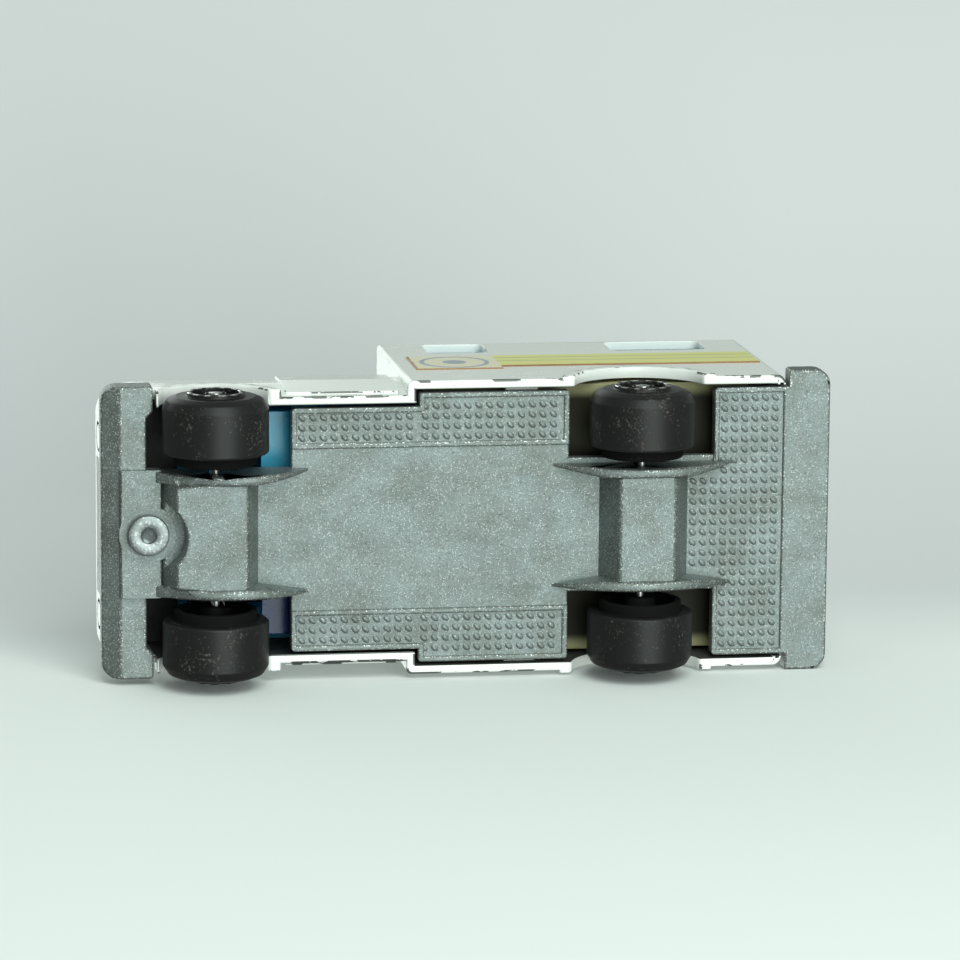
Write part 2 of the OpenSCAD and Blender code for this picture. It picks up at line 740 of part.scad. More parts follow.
module interior_tray() {
    half = box_half - body_wall - tray_gap;
    front = box_front_y + body_wall + glass_gap + glass_t + tray_gap;
    rear = box_rear_y - lintel_d - tray_rear_gap;
    top = tray_z + tray_t;
    l = rear - front;
    cot_l = l * cot_l_share;
    color("khaki") {
        block([-half, front, tray_z], [half, rear, top]);
        both_sides() block([half - tray_t, front, tray_z], [half, rear, top + tray_wall_h]);
        block([-half, front, tray_z], [half, front + cupboard_d, top + tray_wall_h]);
        block([half - bench_w, front, tray_z], [half, rear, top + bench_h]);
        block([-cot_half, rear - cot_l, tray_z], [cot_half, rear - tray_t, top + cot_h]);
        block([-cot_half, rear - cot_l, tray_z],
            [cot_half, rear - cot_l + cot_l * cot_head_l_share, top + cot_h + cot_head_h]);
        both_sides() for (y = [strip_rear_y - tray_leg_set - tray_leg_l, panel_front_y + tray_leg_set])
            block([tray_leg_in, y, base_top], [tray_leg_in + tray_leg_w, y + tray_leg_l, tray_z + tray_t / 2]);
        axle_tongue(rear_axle_y, tray_z + tray_t / 2);
    }
}

// The door on the +X side
module rear_door() {
    outer = hinge_y + knuckle_r;
    free = door_gap / 2;
    window_low = door_high - door_window_drop - door_window_h;
    handle_z = door_low + (door_high - door_low) * handle_h_share;
    difference() {
        union() {
            block([free, outer - door_t, door_low], [hinge_x, outer, door_high]);
            translate([hinge_x, hinge_y, door_low]) cylinder(r = knuckle_r, h = door_high - door_low);
            block([handle_from_edge, outer - door_t / 2, handle_z],
                [handle_from_edge + handle_l, outer + handle_out, handle_z + handle_h]);
        }
        block([free + door_frame_free, outer - door_t - overrun, window_low],
            [hinge_x - door_frame_hinge, outer + overrun, window_low + door_window_h]);
    }
    translate([hinge_x, hinge_y, door_low - pin_reach])
        cylinder(r = hinge_pin_r, h = door_high - door_low + 2 * pin_reach);
}
module rear_door_left() {
    color("white") rear_door();
}
module rear_door_right() {
    color("white") mirror([1, 0, 0]) rear_door();
}

// Steel axle with a head outside each wheel
module axle(y) {
    seat = wheel_face - hub_nub_back + axle_end_play;
    color("lightsteelblue") {
        bar_x(y, axle_z, axle_d / 2, 2 * seat + axle_head_t);
        both_sides() translate([seat + axle_head_t / 2, 0, 0]) bar_x(y, axle_z, axle_head_r, axle_head_t);
    }
}
module front_axle() {
    axle(front_axle_y);
}
module rear_axle() {
    axle(rear_axle_y);
}

// A wheel on the +X side, turned about X: tread, raised hub ring, and an inner drum with a boss
module wheel(y) {
    back = wheel_back;
    cup_r = drum_r - drum_wall;
    ring_r = hub_r - hub_ring_w;
    bore = axle_d / 2 + wheel_clear;
    profile = [[bore, boss_end], [hub_boss_r, boss_end], [hub_boss_r, back + cup_deep],
        [cup_r, back + cup_deep], [cup_r, drum_end], [drum_r, drum_end], [drum_r, back],
        [axle_z, back], [axle_z, wheel_face - hub_proud], [hub_r, wheel_face - hub_proud], [hub_r, wheel_face],
        [ring_r, wheel_face], [ring_r, wheel_face - hub_dish], [hub_nub_r, wheel_face - hub_dish],
        [hub_nub_r, wheel_face - hub_nub_back], [bore, wheel_face - hub_nub_back]];
    rounds = [0, 0, 0, 0, 0, 0, 0, inner_shoulder_r, outer_shoulder_r, 0, 0, 0, 0, 0, 0, 0];
    color("dimgray") translate([0, y, axle_z]) rotate([0, 90, 0]) rotate_extrude()
        polygon(shaped(profile, rounds, 0));
}
module wheel_front_left() {
    wheel(front_axle_y);
}
module wheel_front_right() {
    mirror([1, 0, 0]) wheel(front_axle_y);
}
module wheel_rear_left() {
    wheel(rear_axle_y);
}
module wheel_rear_right() {
    mirror([1, 0, 0]) wheel(rear_axle_y);
}

// Printed label on the +X side of the box: a pale front field and a long stripe
module side_label() {
    front = box_front_y + label_from_wall;
    high = roof_h - label_top_drop;
    low = axle_z + rear_arch_r + flare_w + label_over_arch;
    color("gold") {
        block([box_half, front, low - label_field_under],
            [box_half + label_t, front + label_field_l, high - label_field_drop]);
        block([box_half, front + label_field_l, low],
            [box_half + label_t, box_rear_y - label_rear_margin, high]);
    }
}
module side_label_left() {
    side_label();
}
module side_label_right() {
    mirror([1, 0, 0]) side_label();
}

body_shell();
base_plate();
window_glazing();
interior_tray();
rear_door_left();
rear_door_right();
front_axle();
rear_axle();
wheel_front_left();
wheel_front_right();
wheel_rear_left();
wheel_rear_right();
side_label_left();
side_label_right();
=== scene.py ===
# %% [markdown]
# # A small cast ambulance, seen from underneath
# The toy has a painted body, a bare zinc base, black wheels and coloured mouldings inside. Its measured
# solids come in as a fixed frame. The pieces could be modelled freely beside them, but then nothing would
# be sure to fit, so each one is worked from its solid or set on one.

# %% Load the frame
import json
import math

import bpy
from mathutils import Matrix, Vector


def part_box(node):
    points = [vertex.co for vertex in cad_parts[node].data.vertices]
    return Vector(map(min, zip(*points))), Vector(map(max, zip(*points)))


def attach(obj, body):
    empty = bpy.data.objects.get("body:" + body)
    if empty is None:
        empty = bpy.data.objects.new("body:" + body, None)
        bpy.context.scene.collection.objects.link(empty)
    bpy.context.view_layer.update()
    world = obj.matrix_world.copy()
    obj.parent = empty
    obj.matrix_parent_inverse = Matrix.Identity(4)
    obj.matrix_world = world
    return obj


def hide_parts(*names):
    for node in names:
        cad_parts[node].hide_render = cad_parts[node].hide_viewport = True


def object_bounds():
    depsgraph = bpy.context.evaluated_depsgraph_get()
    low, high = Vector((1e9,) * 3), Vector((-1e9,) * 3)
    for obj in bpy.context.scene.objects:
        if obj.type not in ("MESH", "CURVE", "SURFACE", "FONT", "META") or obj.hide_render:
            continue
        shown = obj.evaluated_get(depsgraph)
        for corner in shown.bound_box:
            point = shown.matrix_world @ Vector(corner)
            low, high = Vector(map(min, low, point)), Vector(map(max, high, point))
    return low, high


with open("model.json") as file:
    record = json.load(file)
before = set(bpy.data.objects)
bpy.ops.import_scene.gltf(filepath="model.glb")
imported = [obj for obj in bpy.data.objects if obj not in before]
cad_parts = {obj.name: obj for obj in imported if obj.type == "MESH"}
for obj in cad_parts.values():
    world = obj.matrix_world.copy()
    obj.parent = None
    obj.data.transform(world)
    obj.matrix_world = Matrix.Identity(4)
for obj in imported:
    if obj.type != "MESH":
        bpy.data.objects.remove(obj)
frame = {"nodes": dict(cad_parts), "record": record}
cad_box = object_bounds()
MM = 0.001
joint_at = {}
for joint in frame["record"]["behaviour"]["joints"]:
    joint_at[joint["name"]] = Vector([v / MM for v in joint["pos_m"]])
print("frame:", sorted(frame["nodes"]))
print("joints:", sorted(joint_at))

# %% [markdown]
# ## The camera
# The toy lies on its right side with its base towards the camera, so the camera stands under the wheels and
# its top points to the toy's left. It could be turned by eye until the picture fits. Here its place and
# axes come from a fit to corners of the toy, with a long lens at half a metre that keeps the outline nearly
# free of perspective.

# %% Camera
camera_place = Vector((84.59, -66.44, -433.12)) * MM
right = Vector((0.0079, 0.9886, -0.1502)).normalized()
back = Vector((0.1777, -0.1492, -0.9727)).normalized()
up = back.cross(right).normalized()
right = up.cross(back)
lens = bpy.data.cameras.new("photo_lens")
lens.sensor_width = 36
lens.lens = 188.82
lens.clip_start = 0.02
lens.clip_end = 20
camera = bpy.data.objects.new("photo_camera", lens)
bpy.context.scene.collection.objects.link(camera)
camera_axes = Matrix((right, up, back)).transposed().to_4x4()
camera_axes.translation = camera_place
camera.matrix_world = camera_axes
bpy.context.scene.camera = camera
bpy.context.scene.view_settings.view_transform = "Standard"
print("camera at", [round(v, 4) for v in camera.matrix_world.translation])

# %% [markdown]
# ## Working in millimetres
# Edges here are rounded by tenths of a millimetre. Bevels that small lose accuracy in metres, so every mesh
# is shaped in millimetres and brought to metres when it is finished. An operator works on whatever is
# selected, so a piece is always picked alone first.

# %% Helpers for pieces
WELD = 0.002
SAME_PLANE = math.radians(0.4)


def pick(piece):
    """Make one piece the only selected object."""
    if bpy.context.mode != "OBJECT":
        bpy.ops.object.mode_set(mode="OBJECT")
    bpy.ops.object.select_all(action="DESELECT")
    piece.select_set(True)
    bpy.context.view_layer.objects.active = piece
    return piece


def apply_modifier(piece, kind, **values):
    """Add a modifier, set its values and apply it."""
    pick(piece)
    bpy.ops.object.modifier_add(type=kind)
    modifier = piece.modifiers[-1]
    for key, value in values.items():
        setattr(modifier, key, value)
    bpy.ops.object.modifier_apply(modifier=modifier.name)


def cast_from(node, name):
    """A copy of a measured solid in millimetres, welded and with its flat faces joined up."""
    piece = bpy.data.objects.new(name, frame["nodes"][node].data.copy())
    bpy.context.scene.collection.objects.link(piece)
    piece.data.materials.clear()
    piece.data.transform(Matrix.Scale(1 / MM, 4))
    pick(piece)
    bpy.ops.object.mode_set(mode="EDIT")
    bpy.ops.mesh.select_all(action="SELECT")
    bpy.ops.mesh.remove_doubles(threshold=WELD)
    bpy.ops.mesh.dissolve_limited(angle_limit=SAME_PLANE)
    bpy.ops.mesh.quads_convert_to_tris(quad_method="BEAUTY", ngon_method="BEAUTY")
    bpy.ops.object.mode_set(mode="OBJECT")
    return piece


# %% [markdown]
# ## Rounded edges
# No edge of a casting is truly sharp, and the light along it shows that. One bevel over a whole mesh would
# give every edge the same radius and fill the inner corners, so each outer edge gets a bevel weight of its
# own. The faces of the bevels are kept in an attribute, because paint wears there first, and on the bare
# metal the same faces get painted shade.

# %% Rounding
def is_outer(first, second):
    """Whether the edge between two faces stands out from the solid."""
    across = second.center - first.center
    return across.dot(first.normal) - across.dot(second.normal) < 0


def round_edges(piece, radius_at, segments=2, sharp=32):
    """Round the outer sharp edges: radius_at gives the radius for an edge's middle and the way it points."""
    mesh = piece.data
    faces_of = {}
    for polygon in mesh.polygons:
        for key in polygon.edge_keys:
            faces_of.setdefault(key, []).append(polygon)
    radii = []
    for edge in mesh.edges:
        faces = faces_of.get(tuple(sorted(edge.vertices)), [])
        radius = 0.0
        if len(faces) == 2 and faces[0].normal.angle(faces[1].normal, 0) > math.radians(sharp):
            if is_outer(*faces):
                a, b = (mesh.vertices[v].co for v in edge.vertices)
                radius = radius_at((a + b) / 2, (faces[0].normal + faces[1].normal).normalized())
        radii.append(radius)
    largest = max(radii)
    weight = mesh.attributes.new("bevel_weight_edge", "FLOAT", "EDGE")
    weight.data.foreach_set("value", [r / largest for r in radii])
    for _ in ("flat faces", "bevels"):
        mesh.materials.append(None)
    apply_modifier(piece, "BEVEL", width=largest, segments=segments, limit_method="WEIGHT",
        use_clamp_overlap=False, material=1, profile=0.5)
    wear_and_shade = mesh.attributes.new("edge_wear_and_shade", "FLOAT", "FACE")
    wear_and_shade.data.foreach_set("value", [float(p.material_index == 1) for p in mesh.polygons])
    for polygon in mesh.polygons:
        polygon.material_index = 0
    print(piece.name, "rounded", sum(r > 0 for r in radii), "edges")


def evenly(radius):
    """A rule that gives every edge the same radius."""
    return lambda middle, outward: radius


# %% [markdown]
# ## Finishing a piece
# Smooth shading runs from a rounded edge into the flats beside it, and they look bent. Weighted normals
# mend most of that, and an extra loop of edges beside each bevel would mend the rest. It is less work to
# give the large flats their own normals. After that a piece gets its materials and rides on its body.

# %% Finishing
LARGE_FLAT = 25.0


def keep_flats(mesh, least):
    """Give the faces of flats over a least area, in square millimetres, their own normals."""
    areas = {}
    planes = []
    for polygon in mesh.polygons:
        normal = polygon.normal
        plane = tuple(round(v, 2) for v in normal) + (round(normal.dot(polygon.center) / MM, 1),)
        planes.append(plane)
        areas[plane] = areas.get(plane, 0) + polygon.area
    normals = [corner.vector.copy() for corner in mesh.corner_normals]
    for polygon, plane in zip(mesh.polygons, planes):
        if areas[plane] > least * MM * MM:
            for corner in polygon.loop_indices:
                normals[corner] = polygon.normal.copy()
    mesh.normals_split_custom_set(normals)


def finish_piece(piece, materials, body, node=None, smooth=32, which=None):
    """Bring a piece to metres, smooth it, give it its finish and let it ride. Where there are several
    materials, which gives the number of one from a face's middle and normal."""
    chosen = [which(p.center, p.normal) if which else 0 for p in piece.data.polygons]
    piece.data.transform(Matrix.Scale(MM, 4))
    pick(piece)
    bpy.ops.object.shade_smooth_by_angle(angle=math.radians(smooth))
    apply_modifier(piece, "WEIGHTED_NORMAL", weight=100, keep_sharp=True)
    keep_flats(piece.data, LARGE_FLAT)
    piece.data.materials.clear()
    for material in materials:
        piece.data.materials.append(material)
    piece.data.polygons.foreach_set("material_index", chosen)
    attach(piece, body)
    if node:
        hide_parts(node)
    print(piece.name, len(piece.data.polygons), "faces")


# %% [markdown]
# ## Nodes by name
# A finish is a web of shader nodes. It could be drawn in the node editor, but a script that anyone can run
# again has to place each node itself. A few small helpers keep that as short as a sum.

# %% Node helpers
def plug(tree, socket, source):
    """Link a source to a socket, or set the socket's own value."""
    if isinstance(source, bpy.types.NodeSocket):
        tree.links.new(source, socket)
    else:
        socket.default_value = source


def add(tree, kind, links=(), **values):
    """A node with its properties set and its inputs plugged by name or number."""
    node = tree.nodes.new(kind)
    for key, value in values.items():
        setattr(node, key, value)
    for key, source in links:
        plug(tree, node.inputs[key], source)
    return node


def calc(tree, operation, a, b=0.0):
    """The result of a math node."""
    return add(tree, "ShaderNodeMath", [(0, a), (1, b)], operation=operation).outputs[0]


def times(tree, a, b):
    return calc(tree, "MULTIPLY", a, b)


def plus(tree, a, b):
    return calc(tree, "ADD", a, b)


def minus(tree, a, b):
    return calc(tree, "SUBTRACT", a, b)


def noise(tree, vector, scale, detail=2.0, rough=0.5):
    links = [("Vector", vector), ("Scale", scale), ("Detail", detail), ("Roughness", rough)]
    return add(tree, "ShaderNodeTexNoise", links).outputs["Fac"]


def ramp(tree, value, low, high):
    """Zero at low, one at high, and smooth between."""
    links = [("Value", value), ("From Min", low), ("From Max", high)]
    return add(tree, "ShaderNodeMapRange", links, interpolation_type="SMOOTHSTEP").outputs["Result"]


def spread(tree, value, low, high, start=0.0, end=1.0):
    """Runs evenly from low to high while the value runs from start to end."""
    links = [("Value", value), ("From Min", start), ("From Max", end), ("To Min", low), ("To Max", high)]
    return add(tree, "ShaderNodeMapRange", links).outputs["Result"]


def mix(tree, share, a, b):
    """Blend two colours."""
    return add(tree, "ShaderNodeMix", [(0, share), (6, a), (7, b)], data_type="RGBA").outputs[2]


def object_place(tree):
    """A point's place in the frame, in metres."""
    return add(tree, "ShaderNodeTexCoord").outputs["Object"]


def axes_of(tree, vector):
    return add(tree, "ShaderNodeSeparateXYZ", [("Vector", vector)]).outputs


def stretched(tree, vector, scale):
    return add(tree, "ShaderNodeMapping", [("Vector", vector), ("Scale", scale)]).outputs["Vector"]


def wear_and_shade_mask(tree):
    """One on worn edges, part way on the base's shaded slopes, and zero on whole faces."""
    return add(tree, "ShaderNodeAttribute", attribute_name="edge_wear_and_shade").outputs["Fac"]


# %% [markdown]
# ## Shared effects
# Several finishes share the same small effects: the grain of a casting, specks of dust, and chips along
# edges. They could be copied into each material. As node groups they are made once, and each place has its
# own values.

# %% Shared effects
def effect(name, inputs, outputs):
    """An empty shader node group with float inputs and outputs, and the sockets inside it."""
    group = bpy.data.node_groups.new(name, "ShaderNodeTree")
    for label, value in inputs:
        socket = group.interface.new_socket(label, in_out="INPUT", socket_type="NodeSocketFloat")
        socket.default_value = value
    for label in outputs:
        group.interface.new_socket(label, in_out="OUTPUT", socket_type="NodeSocketFloat")
    return group, group.nodes.new("NodeGroupInput").outputs, group.nodes.new("NodeGroupOutput").inputs


grain, given, result = effect("cast_grain", [("Scale", 5000.0)], ["Sparkle", "Blotch", "Height"])
coords = object_place(grain)
fine = noise(grain, coords, given["Scale"], 3.0, 0.7)
cells = add(grain, "ShaderNodeTexVoronoi", [("Vector", coords), ("Scale", given["Scale"])]).outputs
crystal = add(grain, "ShaderNodeSeparateColor", [("Color", cells["Color"])]).outputs[0]
blotch = noise(grain, coords, 260.0, 4.0, 0.6)
near_middle = ramp(grain, cells["Distance"], 0.75, 0.25)
plug(grain, result["Sparkle"], times(grain, ramp(grain, crystal, 0.6, 1.0), near_middle))
plug(grain, result["Blotch"], ramp(grain, blotch, 0.3, 0.7))
plug(grain, result["Height"], plus(grain, fine, times(grain, crystal, 0.5)))

specks, given, result = effect("dust_specks", [("Scale", 1800.0), ("Cover", 0.5)], ["Mask"])
coords = object_place(specks)
dots = noise(specks, coords, given["Scale"], 5.0, 0.75)
patches = noise(specks, coords, 330.0, 2.0)
bare_share = minus(specks, 1.0, times(specks, given["Cover"], patches))
low = times(specks, bare_share, 0.8)
plug(specks, result["Mask"], spread(specks, dots, 0.0, 1.0, low, plus(specks, low, 0.12)))

chips, given, result = effect("edge_chips", [("Scale", 900.0), ("Limit", 0.55)], ["Mask"])
coords = object_place(chips)
flakes = noise(chips, stretched(chips, coords, (1.0, 0.5, 1.0)), given["Scale"], 4.0, 0.6)
runs = noise(chips, coords, 160.0, 1.0)
flaked = plus(chips, times(chips, flakes, 0.6), times(chips, runs, 0.4))
flaked = calc(chips, "GREATER_THAN", flaked, given["Limit"])
plug(chips, result["Mask"], times(chips, flaked, wear_and_shade_mask(chips)))
print("effects:", [grain.name, specks.name, chips.name])

# %% [markdown]
# ## White enamel
# The body is dipped in thick white paint, which has chipped off along its edges, most of all along the low
# ones. Chips could be painted on as an image. A noise that only shows on the worn edges gives as many of
# them and needs no picture file.

# %% White enamel
def surface(name, colour, rough, metal=0.0):
    """A new material with a Principled shader, its constant values set on its own sockets."""
    material = bpy.data.materials.new(name)
    material.use_nodes = True
    tree = material.node_tree
    shader = tree.nodes["Principled BSDF"]
    shader.inputs["Base Color"].default_value = colour
    shader.inputs["Roughness"].default_value = rough
    shader.inputs["Metallic"].default_value = metal
    return material, tree, shader


def use(tree, group, **values):
    """The outputs of a shared effect, placed with its own values."""
    return add(tree, "ShaderNodeGroup", values.items(), node_tree=group).outputs


def bump(tree, shader, height, strength, distance):
    node = add(tree, "ShaderNodeBump", [("Strength", strength), ("Distance", distance), ("Height", height)])
    plug(tree, shader.inputs["Normal"], node.outputs["Normal"])


enamel = (0.84, 0.87, 0.835, 1)
grimy_enamel = (0.77, 0.79, 0.73, 1)
under_paint = (0.10, 0.105, 0.095, 1)
white_paint, tree, shader = surface("white_enamel", (0.83, 0.86, 0.82, 1), 0.28)
coords = object_place(tree)
limit = spread(tree, axes_of(tree, coords)["Z"], 0.505, 0.61, 7 * MM, 9 * MM)
chipped = use(tree, chips, Scale=1100.0, Limit=limit)["Mask"]
grime = ramp(tree, noise(tree, coords, 420.0, 5.0, 0.65), 0.52, 0.8)
painted = mix(tree, grime, enamel, grimy_enamel)
plug(tree, shader.inputs["Base Color"], mix(tree, chipped, painted, under_paint))
plug(tree, shader.inputs["Roughness"], spread(tree, grime, 0.24, 0.4))
bump(tree, shader, minus(tree, noise(tree, coords, 700.0, 2.0), chipped), 0.12, 0.05 * MM)
print("made", white_paint.name)

# %% [markdown]
# ## Zinc
# The base is raw zinc: blotched, with pits, a flow along the length and a crystalline sparkle that is
# strongest on the edges, which are darkened as painted shade. A plain grey metal would look like steel. The
# spun rivet is brighter, and the inner side of the body gets a near-black painted shade, because hardly any
# light gets there.

# %% Zinc
dark_zinc = (0.175, 0.198, 0.186, 1)
pale_zinc = (0.245, 0.29, 0.29, 1)
flow_zinc = (0.31, 0.355, 0.345, 1)
pit_zinc = (0.09, 0.10, 0.095, 1)
shaded_edge_zinc = (0.13, 0.142, 0.126, 1)
bright_zinc = (0.86, 0.9, 0.88, 1)
bare_zinc, tree, shader = surface("bare_zinc", (0.36, 0.41, 0.405, 1), 0.46, 0.7)
made = use(tree, grain, Scale=9200.0)
coords = object_place(tree)
edge = wear_and_shade_mask(tree)
flow = noise(tree, stretched(tree, coords, (1.0, 0.35, 1.0)), 420.0, 5.0, 0.65)
flow = ramp(tree, flow, 0.3, 0.72)
pits = ramp(tree, noise(tree, coords, 5200.0, 3.0, 0.7), 0.46, 0.33)
tone = mix(tree, made["Blotch"], dark_zinc, pale_zinc)
tone = mix(tree, times(tree, flow, 0.35), tone, flow_zinc)
tone = mix(tree, times(tree, pits, 0.55), tone, pit_zinc)
# Painted shade: the edges and the slopes of the base are darkened.
tone = mix(tree, times(tree, edge, 0.5), tone, shaded_edge_zinc)
bright = times(tree, made["Sparkle"], plus(tree, 0.24, times(tree, edge, 0.76)))
plug(tree, shader.inputs["Base Color"], mix(tree, bright, tone, bright_zinc))
plug(tree, shader.inputs["Roughness"], spread(tree, made["Sparkle"], 0.5, 0.32))
bump(tree, shader, made["Height"], 0.5, 0.05 * MM)

spun_zinc, tree, shader = surface("spun_zinc", (0.5, 0.53, 0.53, 1), 0.33, 0.85)
made = use(tree, grain, Scale=5200.0)
tone = mix(tree, made["Blotch"], (0.21, 0.235, 0.232, 1), (0.33, 0.365, 0.365, 1))
plug(tree, shader.inputs["Base Color"], mix(tree, made["Sparkle"], tone, (0.5, 0.53, 0.52, 1)))
bump(tree, shader, made["Height"], 0.45, 0.07 * MM)

# Painted shade: near-black for the body's inner faces, where little light gets.
inside_shade, tree, shader = surface("shaded_inside", (0.05, 0.052, 0.05, 1), 0.7, 0.2)
made = use(tree, grain, Scale=3600.0)
tone = mix(tree, made["Blotch"], (0.035, 0.037, 0.036, 1), (0.075, 0.078, 0.074, 1))
plug(tree, shader.inputs["Base Color"], tone)
bump(tree, shader, made["Height"], 0.3, 0.05 * MM)
print("made", [m.name for m in (bare_zinc, spun_zinc, inside_shade)])

# %% [markdown]
# ## Black plastic and foil
# The wheels are hard black plastic with dust in it. Plain black would lose their shape, so specks lighten
# it and dull it. The hubs are hot-pressed with bright foil, which has rubbed off in places.

# %% Black plastic and foil
black_plastic, tree, shader = surface("black_plastic", (0.012, 0.012, 0.013, 1), 0.3)
shader.inputs["Specular IOR Level"].default_value = 0.3
dusty = use(tree, specks, Scale=3600.0, Cover=0.52)["Mask"]
tone = mix(tree, dusty, (0.010, 0.0105, 0.010, 1), (0.10, 0.092, 0.085, 1))
plug(tree, shader.inputs["Base Color"], tone)
plug(tree, shader.inputs["Roughness"], spread(tree, dusty, 0.42, 0.8))

# Painted shade: a darker, duller copy of the black plastic for the drums, which lie in shadow.
shaded_black, tree, shader = surface("shaded_black", (0.006, 0.006, 0.006, 1), 0.75)
shader.inputs["Specular IOR Level"].default_value = 0.08
dusty = use(tree, specks, Scale=3000.0, Cover=0.4)["Mask"]
tone = mix(tree, dusty, (0.005, 0.005, 0.005, 1), (0.03, 0.028, 0.026, 1))
plug(tree, shader.inputs["Base Color"], tone)

hub_foil, tree, shader = surface("hub_foil", (0.75, 0.76, 0.77, 1), 0.18, 1.0)
rubbed = use(tree, specks, Scale=2400.0, Cover=0.62)["Mask"]
tone = mix(tree, rubbed, (0.75, 0.76, 0.77, 1), (0.03, 0.03, 0.03, 1))
plug(tree, shader.inputs["Base Color"], tone)
print("made", [m.name for m in (black_plastic, shaded_black, hub_foil)])

# %% [markdown]
# ## Clear blue
# The windows, beacons and legs are one moulding of clear blue plastic. Clear glass would need many bounces
# of light to look blue down in the wells, so its colour does part of that work: its legs are pale on the
# side by the light and deep on the other.

# %% Clear blue
LEG_TOP = (11.8 * MM, 11.0 * MM)
UPPER_LIGHT = 0.6
blue_clear, tree, shader = surface("blue_clear", (0.06, 0.30, 0.62, 1), 0.2)
shader.inputs["Transmission Weight"].default_value = 0.45
shader.inputs["IOR"].default_value = 1.49
shader.inputs["Specular IOR Level"].default_value = 0.2
dusty = use(tree, specks, Scale=2600.0, Cover=0.5)["Mask"]
axes = axes_of(tree, object_place(tree))
lit_side = minus(tree, ramp(tree, axes["X"], -6 * MM, 6 * MM), UPPER_LIGHT)
lit_side = times(tree, lit_side, ramp(tree, axes["Z"], *LEG_TOP))
lit_side = plus(tree, lit_side, UPPER_LIGHT)
clean = mix(tree, lit_side, (0.006, 0.04, 0.19, 1), (0.10, 0.64, 0.94, 1))
dulled = mix(tree, lit_side, (0.015, 0.07, 0.20, 1), (0.22, 0.70, 0.94, 1))
plug(tree, shader.inputs["Base Color"], mix(tree, dusty, clean, dulled))
print("made", blue_clear.name)

# %% [markdown]
# ## Cream plastic and steel
# The tray is pale yellow plastic. Its underside over the wheels gets a near-black painted shade, all but a
# rim along each side. A height in the frame tells the underside from the rest, so the tray needs no second
# material. The axles are drawn steel wire, and a noise stretched along them gives the fine lines of drawing.

# %% Cream plastic and steel
TRAY_UNDERSIDE = (10.8 * MM, 10.5 * MM)
TRAY_RIM = (10.8 * MM, 11.9 * MM)
cream_plastic, tree, shader = surface("cream_plastic", (0.66, 0.64, 0.34, 1), 0.5)
shader.inputs["Specular IOR Level"].default_value = 0.15
coords = object_place(tree)
axes = axes_of(tree, coords)
cloud = ramp(tree, noise(tree, coords, 300.0, 3.0), 0.35, 0.75)
clean = mix(tree, cloud, (0.70, 0.68, 0.37, 1), (0.60, 0.58, 0.30, 1))
# Painted shade: the underside over the wheels goes nearly black, less so along a rim at each side.
rim = ramp(tree, calc(tree, "ABSOLUTE", axes["X"]), *TRAY_RIM)
shade_depth = minus(tree, 0.985, times(tree, rim, 0.5))
underside_shade = times(tree, ramp(tree, axes["Z"], *TRAY_UNDERSIDE), shade_depth)
plug(tree, shader.inputs["Base Color"], mix(tree, underside_shade, clean, (0.012, 0.0112, 0.007, 1)))
bump(tree, shader, noise(tree, coords, 3000.0, 2.0), 0.1, 0.03 * MM)

axle_steel, tree, shader = surface("axle_steel", (0.55, 0.55, 0.54, 1), 0.3, 1.0)
drawn = noise(tree, stretched(tree, object_place(tree), (60.0, 4000.0, 4000.0)), 1.0, 2.0)
plug(tree, shader.inputs["Base Color"], mix(tree, drawn, (0.36, 0.36, 0.35, 1), (0.66, 0.66, 0.65, 1)))
print("made", [m.name for m in (cream_plastic, axle_steel)])

# %% [markdown]
# ## The base
# The base is one zinc casting. Its fins have fully rounded rims, the bumpers have soft corners, and the
# thin borders of the tread are nearly half round, so each kind of edge gets its own radius. The fins run
# out to thin tips, so their inner faces are first moved outwards bit by bit between the ridge's foot and
# the tip. The ring round the rivet is nearly level with the pad that it stands on. Sculpting could do all
# this, but not to a tenth of a millimetre.

# %% Fins and rivet of the base
FIN_RUNS = ((-19.0, -14.5), (11.9, 7.6), (20.0, 24.1))
FIN_PAST_TIP = 1.15
FIN_FACE = (4.6, 4.8)
FIN_INNER = 4.7
FIN_TAPER = 0.7
FIN_TOP = 6.7
RIVET_Y = -28.9
RING_RADIUS = 2.65
RING_CAST_Z = 5.8
RING_LEVEL = 5.97


def between(value, limits):
    return limits[0] < value < limits[1]


def from_rivet(x, y):
    return math.hypot(x, y - RIVET_Y)


def fin_share(y):
    """How far along the way from a ridge's foot to a fin's tip a place lies, from 0 to 1."""
    for foot, tip in FIN_RUNS:
        share = (y - foot) / (tip - foot)
        if between(share, (0, FIN_PAST_TIP)):
            return min(share, 1.0)
    return 0.0


base = cast_from("base_plate", "base_casting")
for vertex in base.data.vertices:
    x, y, z = vertex.co
    if z < RING_CAST_Z and from_rivet(x, y) < RING_RADIUS:
        vertex.co.z = RING_LEVEL
    if between(abs(x), FIN_FACE) and z <= FIN_TOP:
        vertex.co.x = math.copysign(FIN_INNER + FIN_TAPER * fin_share(y), x)
print("base:", len(base.data.vertices), "corners before rounding")

# %% [markdown]
# ### The base's edges
# The places in these rules are the base's own: the fins' band across the width, the two bumpers, and the
# threshold under the doors, where the hinge holes leave little room beside them. A wide bevel there would
# reach into a hole.

